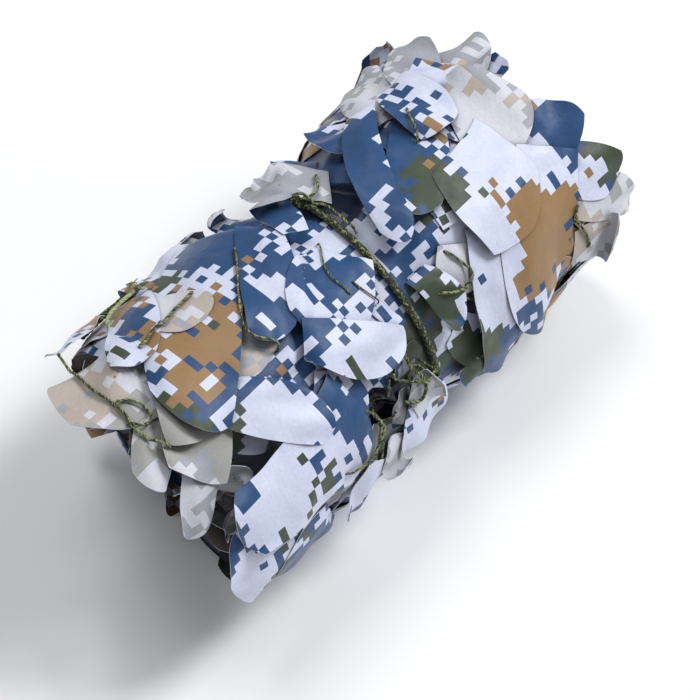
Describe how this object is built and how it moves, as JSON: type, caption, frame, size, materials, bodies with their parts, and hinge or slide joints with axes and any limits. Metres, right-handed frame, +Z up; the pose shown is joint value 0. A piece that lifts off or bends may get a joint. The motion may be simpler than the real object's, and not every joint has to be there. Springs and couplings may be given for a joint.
{
  "type": "rolled camouflage net",
  "caption": "Bundle of leaf-cut camouflage netting, wound into a roll and pulled in at its waist by a braided tie cord, with loose cloth lobes lying over it and standing out past both ends.",
  "frame": {"origin": "middle of the base, on the surface the roll lies on", "axes": "+X along the roll from its open mouth to its far end, +Y to the back, +Z up"},
  "size_m": [0.4462, 0.223, 0.2115],
  "materials": {
    "printed_cloth": "matt coated woven polyester with a pixel camouflage print",
    "cloth_reverse": "pale reverse of the printed cloth",
    "wound_cloth": "inner turns of the wound netting, shaded",
    "braided_cord": "braided dark olive cord with light flecks"
  },
  "bodies": {
    "root": {"edge_rope": "braided_cord", "lobe_back_far_low": "cloth_reverse", "lobe_back_far_top": "printed_cloth", "lobe_back_far_wide": "printed_cloth", "lobe_back_near_low": "printed_cloth", "lobe_back_near_tip": "cloth_reverse", "lobe_back_near_wide": "printed_cloth", "lobe_end_far_back": "printed_cloth", "lobe_end_far_low": "printed_cloth", "lobe_end_far_top": "cloth_reverse", "lobe_far_beige": "cloth_reverse", "lobe_far_bright": "cloth_reverse", "lobe_far_check": "printed_cloth", "lobe_far_curls": "cloth_reverse", "lobe_far_dark": "printed_cloth", "lobe_far_edge": "printed_cloth", "lobe_far_green": "printed_cloth", "lobe_far_grey": "cloth_reverse", "lobe_far_left_slit": "printed_cloth", "lobe_far_middle": "printed_cloth", "lobe_far_peak": "cloth_reverse", "lobe_far_point": "printed_cloth", "lobe_far_right_slit": "printed_cloth", "lobe_far_rise": "printed_cloth", "lobe_far_tan": "printed_cloth", "lobe_far_white": "cloth_reverse", "lobe_low_curl": "cloth_reverse", "lobe_low_olive": "printed_cloth", "lobe_low_print": "printed_cloth", "lobe_low_strip": "printed_cloth", "lobe_low_tan": "printed_cloth", "lobe_low_tip": "printed_cloth", "lobe_mouth_back": "cloth_reverse", "lobe_mouth_floor": "cloth_reverse", "lobe_mouth_green": "printed_cloth", "lobe_mouth_low": "cloth_reverse", "lobe_mouth_side": "cloth_reverse", "lobe_mouth_under": "printed_cloth", "lobe_near_back": "printed_cloth", "lobe_near_big": "printed_cloth", "lobe_near_brown": "printed_cloth", "lobe_near_cheek": "cloth_reverse", "lobe_near_curl": "cloth_reverse", "lobe_near_finger": "printed_cloth", "lobe_near_lavender": "cloth_reverse", "lobe_near_loop": "printed_cloth", "lobe_near_mid": "printed_cloth", "lobe_near_patch": "printed_cloth", "lobe_near_reverse": "cloth_reverse", "lobe_near_right": "printed_cloth", "lobe_under_far": "printed_cloth", "lobe_under_near": "printed_cloth", "lobe_waist_flap": "cloth_reverse", "lobe_waist_low": "printed_cloth", "lobe_waist_panel": "printed_cloth", "lobe_waist_rolled": "printed_cloth", "lobe_waist_white": "printed_cloth", "rolled_net": "wound_cloth", "tie_cord": "braided_cord"}
  },
  "joints": []
}
